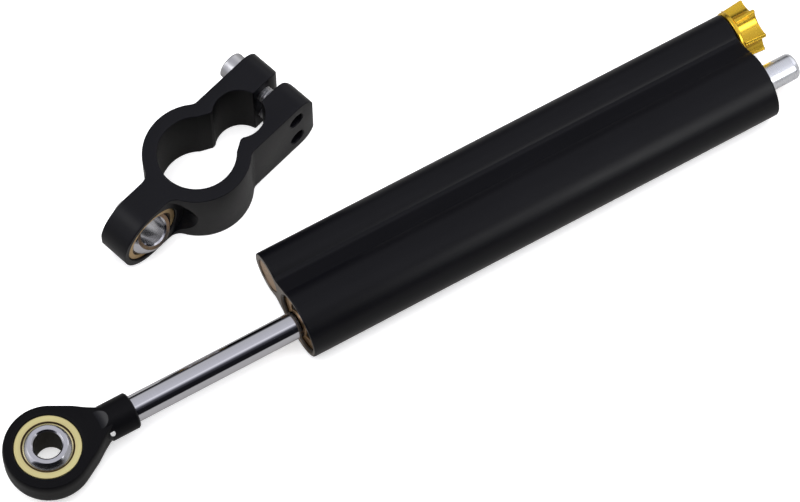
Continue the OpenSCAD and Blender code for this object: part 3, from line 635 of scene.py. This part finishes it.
def walled(piece, reach, finish):
    """Gives the wall of a bore a finish of its own, which is painted shade on the races' hollows
    and in the rod end ball's bore: the faces whose distance from the axis is under reach and
    that don't face along it."""
    piece.data.materials.append(finish)
    count = len(piece.data.polygons)
    middle, facing = np.empty(count * 3), np.empty(count * 3)
    piece.data.polygons.foreach_get("center", middle)
    piece.data.polygons.foreach_get("normal", facing)
    off = np.hypot(middle[0::3], middle[1::3])
    inside = (off < reach * MM) & (np.abs(facing[2::3]) < 0.9)
    piece.data.polygons.foreach_set("material_index", inside.astype(np.int32))
    return piece


# The rod end's race takes painted shade on its hollow, and its ball takes painted shade in its
# bore.
walled(turned("rod_end_race_turned", race_profile(9.65), "rod_end_race",
              "rod_end_race", brass, axis="Z", sides=128), race_wall_r, race_wall)
walled(turned("rod_end_ball_polished", ball_profile, "rod_end_ball",
              "rod_end_ball", ball_chrome, axis="Z", sides=128), bore_wall_r, ball_bore)


def stood(piece, matrix):
    """Writes a place and turn, given in millimetres, into the piece's mesh points."""
    count = len(piece.data.vertices)
    points = np.empty(count * 3)
    piece.data.vertices.foreach_get("co", points)
    turn = np.array(matrix.to_3x3())
    moved = points.reshape(-1, 3) @ turn.T + np.array(matrix.translation) * MM
    piece.data.vertices.foreach_set("co", moved.ravel())
    piece.data.update()


lug_axis = clamp_place.to_3x3() @ Vector((0, 1, 0))
lug_place = Matrix.Translation(lug_centre) @ Matrix.Rotation(clamp_turn, 4, "Z") \
    @ Matrix.Rotation(math.radians(90), 4, "X")
lug_chrome = metal_finish("lug_ball_chrome", (0.7, 0.7, 0.75), 0.14, centre=lug_centre,
                          axis=lug_axis, ring=1500.0, spread=0.03, tint=0.03, bump=0.05)
# The clamp's race is a darker, browner copy of the brass: painted shade for the shadowed floor
# beside the clamp that its face reflects.
lug_brass_shaded = metal_finish("lug_race_brass_shaded", (0.72, 0.5, 0.24), 0.33, centre=lug_centre,
                         axis=lug_axis, ring=3000.0, bump=3.5, tint=0.1, spread=0.07)
lug_ball_tilt = math.radians(-30)
# The clamp's race takes the same painted shade on its hollow. Its ball's bore stays plain steel.
stood(walled(turned("clamp_race_turned", race_profile(9.35), "clamp_race",
                    "clamp_race", lug_brass_shaded, axis="Z", sides=128), race_wall_r, race_wall),
      lug_place)
stood(walled(turned("clamp_ball_polished", ball_profile, "clamp_ball",
                    "clamp_ball", lug_chrome, axis="Z", sides=128), bore_wall_r, lug_bore),
      lug_place @ Matrix.Rotation(lug_ball_tilt, 4, "X"))

# Adjuster knob. Turned from aluminium, six finger flutes milled down to a thin flange, gold
# anodised. A socket screw in the recess holds it on the spindle.

gold = metal_finish("gold_anodised", (0.95, 0.61, 0.06), 0.27, speck=900.0, spread=0.05,
                    tint=0.06, bump=0.2)
knob_x, lobes, lobe_turn, flute_r, flute_at = 233.35, 6, 26.0, 4.5, 9.95
knob_r, knob_flare, flare_from, flare_long, crest_r = 7.5, 0.6, 1.25, 6.4, 0.3
rim_from, rim_r = 7.6, 0.5


def lobed(outer):
    """The fluted outline for an outer radius: round the axis, arcs of that radius alternate with
    flutes of radius flute_r centred flute_at out, and the corners are rounded by crest_r."""
    half = math.degrees(math.acos((outer ** 2 + flute_at ** 2 - flute_r ** 2)
                                  / (2 * outer * flute_at)))
    dip = math.degrees(math.atan2(outer * math.sin(math.radians(half)),
                                  flute_at - outer * math.cos(math.radians(half))))
    loop, round_by = [], []
    for k in range(lobes):
        a = math.radians(lobe_turn + 360 / lobes * (k + 0.5))
        hollow = arc(flute_at, 0, flute_r, 180 + dip, 180 - dip, 11)
        turn = np.array([[math.cos(a), -math.sin(a)], [math.sin(a), math.cos(a)]])
        loop.append(hollow @ turn.T)
        round_by += [crest_r] + [0] * 9 + [crest_r]
        top = arc(0, 0, outer, math.degrees(a) + half, math.degrees(a) + 360 / lobes - half, 5)
        loop.append(top[1:-1])
        round_by += [0] * 3
    return softened(np.vstack(loop), round_by, closed=True, steps=4, hold=0.02)


# The knob's rows: a round flange, the fluted body that flares by knob_flare up to a rounded rim,
# and then the recess, the seat of the screw and the bore back to the flange's face.
knob_rows = []
plain = lobed(knob_r)
heading = plain / np.linalg.norm(plain, axis=1)[:, None]
for x, r in ((0, 7.1), (0.12, 7.35), (0.35, 7.48), (0.45, 7.5), (1.1, 7.5), (1.24, 7.44),
             (1.3, 7.3)):
    knob_rows.append(np.c_[np.full(len(plain), x), heading * r])
for x, out in ((1.3, -0.25), (1.38, -0.08), (1.55, 0), (1.6, 0), (3.6, 0), (5.6, 0), (7.55, 0)):
    outer = knob_r + knob_flare * (x - flare_from) / flare_long
    knob_rows.append(np.c_[np.full(len(plain), x), inset(lobed(outer), out)])
for t in np.radians(np.linspace(0, 90, 6)):
    knob_rows.append(np.c_[np.full(len(plain), rim_from + rim_r * math.sin(t)),
                           inset(lobed(knob_r + knob_flare), rim_r * (1 - math.cos(t)))])
for x, r in ((8.1, 2.75), (8.05, 2.5), (7.85, 2.35), (5.35, 2.35), (5.3, 2.3), (5.3, 1.1),
             (4.3, 1.1), (4.3, 2.21), (0.2, 2.21), (0, 2.4)):
    knob_rows.append(np.c_[np.full(len(plain), x), heading * r])
knob = make_piece("fluted_knob", np.vstack(knob_rows) + [knob_x, tube_gap, 0],
                  grid(len(knob_rows), len(plain), True, True), [gold], crease=30)
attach(knob, "adjuster")
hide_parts("adjuster_knob")


def socket_screw(name, head_r, head_long, stem_r, stem_long, socket_r, socket_deep, pitch,
                 knurl, finish):
    """A socket head screw with its stem down -Z and the underside of its head at zero. The stem's
    radius is stem_r less the thread's depth times a rounded wave of (height / pitch - turn), so
    the wave climbs as a helix, and the socket's radius is that of a hexagon at each angle.
    knurl is the number of ribs round the head. At 0 there are none, nor a thread at pitch 0."""
    sides = 96
    a = np.radians(np.arange(sides) * 360 / sides)
    rows = [(-stem_long, a * 0)]
    count = max(int(stem_long / pitch * 10), 2) if pitch else 2
    for z in np.linspace(-stem_long, -0.3, count + 1):
        if pitch:
            wave = (z / pitch - a / (2 * math.pi)) % 1
            cut = np.clip(1.25 - 2.5 * np.abs(wave - 0.5) * 1.6, 0, 1) * 0.5 * pitch
            ends = min((z + stem_long) / (1.2 * pitch), 1)
            rows.append((z, stem_r - 0.02 - cut * ends - (1 - ends) * 0.45 * pitch))
        else:
            rows.append((z, a * 0 + stem_r))
    rows += [(-0.05, a * 0 + stem_r), (0, a * 0 + stem_r + 0.05), (0, a * 0 + head_r - 0.15)]
    ribs = 0.09 * head_r / 4 * np.abs(((a * knurl / (2 * math.pi)) % 1) * 2 - 1) if knurl else 0
    rows += [(0.15, a * 0 + head_r - 0.02), (0.4, head_r - ribs), (head_long * 0.8, head_r - ribs),
             (head_long * 0.84, a * 0 + head_r - 0.03)]
    soft = 0.14 * head_long
    rows += [(head_long - soft + soft * math.sin(t), a * 0 + head_r - soft * (1 - math.cos(t)))
             for t in np.radians(np.linspace(15, 90, 6))]
    hexagon = socket_r * math.cos(math.radians(30)) / \
        np.cos((a + math.radians(30)) % math.radians(60) - math.radians(30))
    rows += [(head_long, a * 0 + socket_r * 1.13), (head_long - 0.02, a * 0 + socket_r * 1.1),
             (head_long - 0.12 * head_r / 2, hexagon), (head_long - socket_deep, hexagon),
             (head_long - socket_deep - 0.3 * socket_r, a * 0)]
    points = np.vstack([np.c_[np.cos(a) * r, np.sin(a) * r, np.full(sides, z)] for z, r in rows])
    return make_piece(name, points, grid(len(rows), sides, False, True), [finish], crease=34)


dark_screw = metal_finish("knob_screw_steel", (0.16, 0.16, 0.17), 0.34, ring=2500.0, bump=2.0,
                          **on_side)
knob_screw = socket_screw("knob_socket_screw", head_r=2.2, head_long=1.95, stem_r=1.0,
                          stem_long=6.7, socket_r=1.1, socket_deep=1.1, pitch=0, knurl=0,
                          finish=dark_screw)
stood(knob_screw, Matrix.Translation((knob_x + 5.32, tube_gap, 0))
      @ Matrix.Rotation(math.radians(90), 4, "Y"))
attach(knob_screw, "adjuster")
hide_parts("knob_screw")

# Clamp bracket. Milled from one aluminium block and black anodised: a ring open on one side, two
# ears drawn together by the screws, and a lug for the second bearing. All edges are broken.

clamp_black = metal_finish("clamp_anodised", (0.0035, 0.0035, 0.005), 0.34, metallic=0.0,
                           level=0.19, speck=1500.0, spread=0.05, tint=0.15, bump=2.5)
# The walls of the holes take a darker, duller copy of the black: painted shade inside the holes.
clamp_inside_shade = metal_finish("clamp_hole_shade", (0.003, 0.003, 0.0035), 0.4, metallic=0.0,
                            level=0.08, speck=1500.0, spread=0.05, tint=0.15, bump=2.5)
clamp_half, ear_end, ear_y, ear_round = 11.2, 35.8, 11.5, 5.5
ring_r, big_hole_r, small_hole_r, lug_y = 15.7, 11.4, 7.6, (-4.995, 4.755)
slot_near, slot_far, mouth_r = -1.85, 1.55, 3.0
screw_x, screw_up, screw_sink = 28.9, 5.2, 1.0
ear_lines = np.r_[ear_end - ear_round + 4.2 * np.sin(np.radians(np.linspace(0, 90, 11))), ear_end]
lug_lines = np.r_[lug_x - 10.1 * np.sin(np.radians(np.linspace(0, 90, 15))), lug_x - clamp_half]


def side_of(x_lines, y):
    """Points on a straight side at height y, one for each x line."""
    return np.c_[x_lines, np.full(len(x_lines), y)]


def corner_fill(a, f, sign):
    """The hollow round of radius f between the ring and a side at height a, from side to ring."""
    cx = math.sqrt((ring_r + f) ** 2 - (a + f) ** 2)
    end = math.degrees(math.atan2(-(a + f), -cx))
    return arc(cx, a + f, f, -90, end, 7) * [1, sign]


# The small hole's wall ends at waist_half, and a flat chord runs on into the big hole's wall.
waist_half = 6.12
waist_at = tube_gap - math.sqrt(small_hole_r ** 2 - waist_half ** 2)
chord = np.array([[11.59, 6.07], [3.452, 10.625]])
step = chord[1] - chord[0]
meet = chord[0] + step * min(np.roots([step @ step, 2 * step @ chord[0],
                                       chord[0] @ chord[0] - big_hole_r ** 2]))
big_from = math.degrees(math.atan2(meet[1], meet[0]))
small_from = math.degrees(math.asin(slot_far / small_hole_r))
small_to = math.degrees(math.atan2(waist_half, waist_at - tube_gap))
near_fill, far_fill = corner_fill(ear_y, 3.0, -1), corner_fill(ear_y, 3.0, 1)
lug_near = corner_fill(-lug_y[0], 4.0, -1) * [-1, 1]
lug_far = corner_fill(lug_y[1], 4.0, 1) * [-1, 1]
ring_a = [math.degrees(math.atan2(p[1], p[0])) for p in
          (near_fill[-1], lug_near[-1], lug_far[-1], far_fill[-1])]
mouth_lines = ear_lines[ear_lines < ear_end - mouth_r]
# The outline as runs of (points, rounding at the first point, rounding at the last), from the
# slot's mouth round the near ear, the lug and the far ear, and back through both holes.
runs = [
    (arc(ear_end - mouth_r, slot_near - mouth_r, mouth_r, 90, 0, 13), 0, 0),
    (side_of(ear_lines[::-1], -ear_y), 0.5, 0), (near_fill, 0, 0),
    (arc(0, 0, ring_r, ring_a[0], ring_a[1], 50)[1:-1], 0, 0), (lug_near[::-1], 0, 0),
    (side_of(lug_lines, lug_y[0]), 0, 0.45), (side_of(lug_lines[::-1], lug_y[1]), 0.45, 0),
    (lug_far, 0, 0), (arc(0, 0, ring_r, ring_a[2], ring_a[3], 50)[1:-1], 0, 0),
    (far_fill[::-1], 0, 0), (side_of(ear_lines, ear_y), 0, 0.5),
    (arc(ear_end - mouth_r, slot_far + mouth_r, mouth_r, 0, -90, 13), 0, 0),
    (side_of(mouth_lines[::-1], slot_far), 0, 0),
    (arc(tube_gap, 0, small_hole_r, small_from, small_to, 24), 0.5, 0.6),
    ([chord[0]], 0.6, 0.6), (arc(0, 0, big_hole_r, big_from, 360 - big_from, 110), 1.5, 1.5),
    ([chord[0] * [1, -1]], 0.6, 0.6),
    (arc(tube_gap, 0, small_hole_r, 360 - small_to,
         360 - math.degrees(math.asin(-slot_near / small_hole_r)), 24), 0.6, 0.5),
    (side_of(mouth_lines, slot_near), 0, 0)]
loop = np.vstack([run[0] for run in runs])
by = np.concatenate([np.r_[first, np.zeros(max(len(run) - 2, 0)), last][:len(run)]
                     for run, first, last in runs])
loop = softened(loop[::-1], by[::-1], closed=True, steps=3, hold=0.03)


def half_height(x):
    """Half the clamp's thickness at x: full between lug and ear ends, a quarter round over the
    ends of the ears and a half round over the lug."""
    over_ear = clamp_half - ear_round + np.sqrt(np.maximum(
        ear_round ** 2 - np.maximum(x - (ear_end - ear_round), 0) ** 2, 0))
    over_lug = np.sqrt(np.maximum(clamp_half ** 2 - np.minimum(x - lug_x, 0) ** 2, 0))
    return np.minimum(over_ear, over_lug)


# The wall runs from one broken edge to the other, and the two flat sides are filled with
# triangles. The fill has points along the lines on which the ears and the lug are rounded.
broken = 0.3
ring_rows, edge_turns = [], np.radians(np.linspace(0, 90, 5))
for sign in (-1, 1):
    for t in (edge_turns[::-1] if sign < 0 else edge_turns):
        flat = inset(loop, broken * (1 - math.cos(t)))
        height = (clamp_half - broken * (1 - math.sin(t))) / clamp_half * sign
        ring_rows.append(np.c_[flat, height * half_height(flat[:, 0])])
clamp_points = np.vstack(ring_rows)
clamp_faces = grid(len(ring_rows), len(loop), wrap_columns=True).tolist()
cap_loop = inset(loop, broken)
inner_y = np.linspace(-ear_y + 1, slot_near - 1, 6)
extra = [np.c_[np.full(12, x), np.r_[inner_y, -inner_y]] for x in [*ear_lines[:-1], 35.0]]
extra += [np.c_[np.full(6, x), np.linspace(lug_y[0] + 0.9, lug_y[1] - 0.9, 6)]
          for x in [*lug_lines[:-1], -34.1]]
cap = [Vector(p) for p in np.vstack([cap_loop] + extra)]
ends = [(i, (i + 1) % len(loop)) for i in range(len(loop))]
cap_at, _, cap_tris, *_ = delaunay_2d_cdt(cap, ends, [], 1, 1e-5)
cap_at = np.array([tuple(p) for p in cap_at])
for sign in (-1, 1):
    first = len(clamp_points)
    clamp_points = np.vstack([clamp_points, np.c_[cap_at, sign * half_height(cap_at[:, 0])]])
    clamp_faces += [[first + i for i in tri] for tri in cap_tris]
# The holes' walls between their broken edges take the darker, duller copy: painted shade.
middle = np.array([np.mean([clamp_points[i] for i in face], 0) for face in clamp_faces])
inner_wall = ((np.hypot(middle[:, 0], middle[:, 1]) < 13.2)
              | (np.hypot(middle[:, 0] - tube_gap, middle[:, 1]) < 8.3)) \
    & (np.abs(middle[:, 2]) < 10.95)
bracket = make_piece("clamp_milled", clamp_points, clamp_faces, [clamp_black, clamp_inside_shade],
                     inner_wall.astype(int), crease=28)

# The lug's bore has a seat for the race with a chamfer at each end. A screw's has the recess for
# its head in the far ear, then the clearance, and the thread's bore in the near ear.
bores = [([(10, 0), (10, 9.65), (4.755, 9.65), (4.5, 9.4), (-4.72, 9.4), (-4.98, 9.65),
           (-4.98, 12.3), (-20, 12.3), (-20, 0)], (lug_x, 0, 0), (0, 1, 0))]
for height in (screw_up, -screw_up):
    bores.append(([(20, 0), (20, 4.55), (ear_y - screw_sink, 4.55), (ear_y - screw_sink, 2.75),
                   (0, 2.75), (0, 2.5), (-11.2, 2.5), (-ear_y, 2.8), (-20, 2.8), (-20, 0)],
                  (screw_x, 0, height), (0, 1, 0)))
drill_through(bracket, bores, 28)
stood(bracket, clamp_place)
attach(bracket, "clamp")
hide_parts("clamp_bracket")

# Clamp screws. Two zinc-plated steel cap screws with socket heads. They are sunk in the far ear
# and draw it towards the near one, and their threads show in the slot.

zinc = metal_finish("zinc_plate", (0.6, 0.6, 0.62), 0.33, speck=1200.0, tint=0.08, bump=1.5)
for which, height in (("upper", screw_up), ("lower", -screw_up)):
    screw = socket_screw("clamp_screw_" + which + "_threaded", head_r=4.25, head_long=5.0,
                         stem_r=2.5, stem_long=17.0, socket_r=2.3, socket_deep=2.4, pitch=0.8,
                         knurl=48, finish=zinc)
    stood(screw, clamp_place @ Matrix.Translation((screw_x, ear_y - screw_sink, height))
          @ Matrix.Rotation(math.radians(-90), 4, "X"))
    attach(screw, "clamp")
    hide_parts("clamp_screw_" + which)

# Parts inside the body. They stay as packed and only take finishes: seals and sealing rings in
# rubber, turned bronze guides, plain aluminium pistons and steel valve parts.

plain_metal = metal_finish("plain_aluminium", (0.6, 0.6, 0.62), 0.3, ring=2400.0, bump=3.0,
                           **on_rod)
side_metal = metal_finish("side_bore_bronze", (0.42, 0.25, 0.13), 0.33, ring=2200.0, bump=3.0,
                          **on_side)
side_steel = metal_finish("side_bore_steel", (0.55, 0.55, 0.57), 0.28, ring=2200.0, bump=2.0,
                          **on_side)
band_plastic = metal_finish("band_plastic", (0.09, 0.05, 0.025), 0.45, metallic=0.0,
                            speck=1500.0, tint=0.15, bump=2.0)
# The first row with a word that is in the part's name gives its finish.
finish_rows = [(("piston_rod",), side_steel), (("seal", "o_ring", "wiper"), rubber),
               (("clip", "housing_ring"), spring_steel), (("piston_band",), band_plastic),
               (("piston",), plain_metal), (("bushing",), bronze),
               (("valve_seat", "adjuster_housing"), side_metal)]
for name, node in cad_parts.items():
    fits = [made for words, made in finish_rows if any(word in name for word in words)]
    node.data.materials.clear()
    node.data.materials.append((fits + [side_steel])[0])
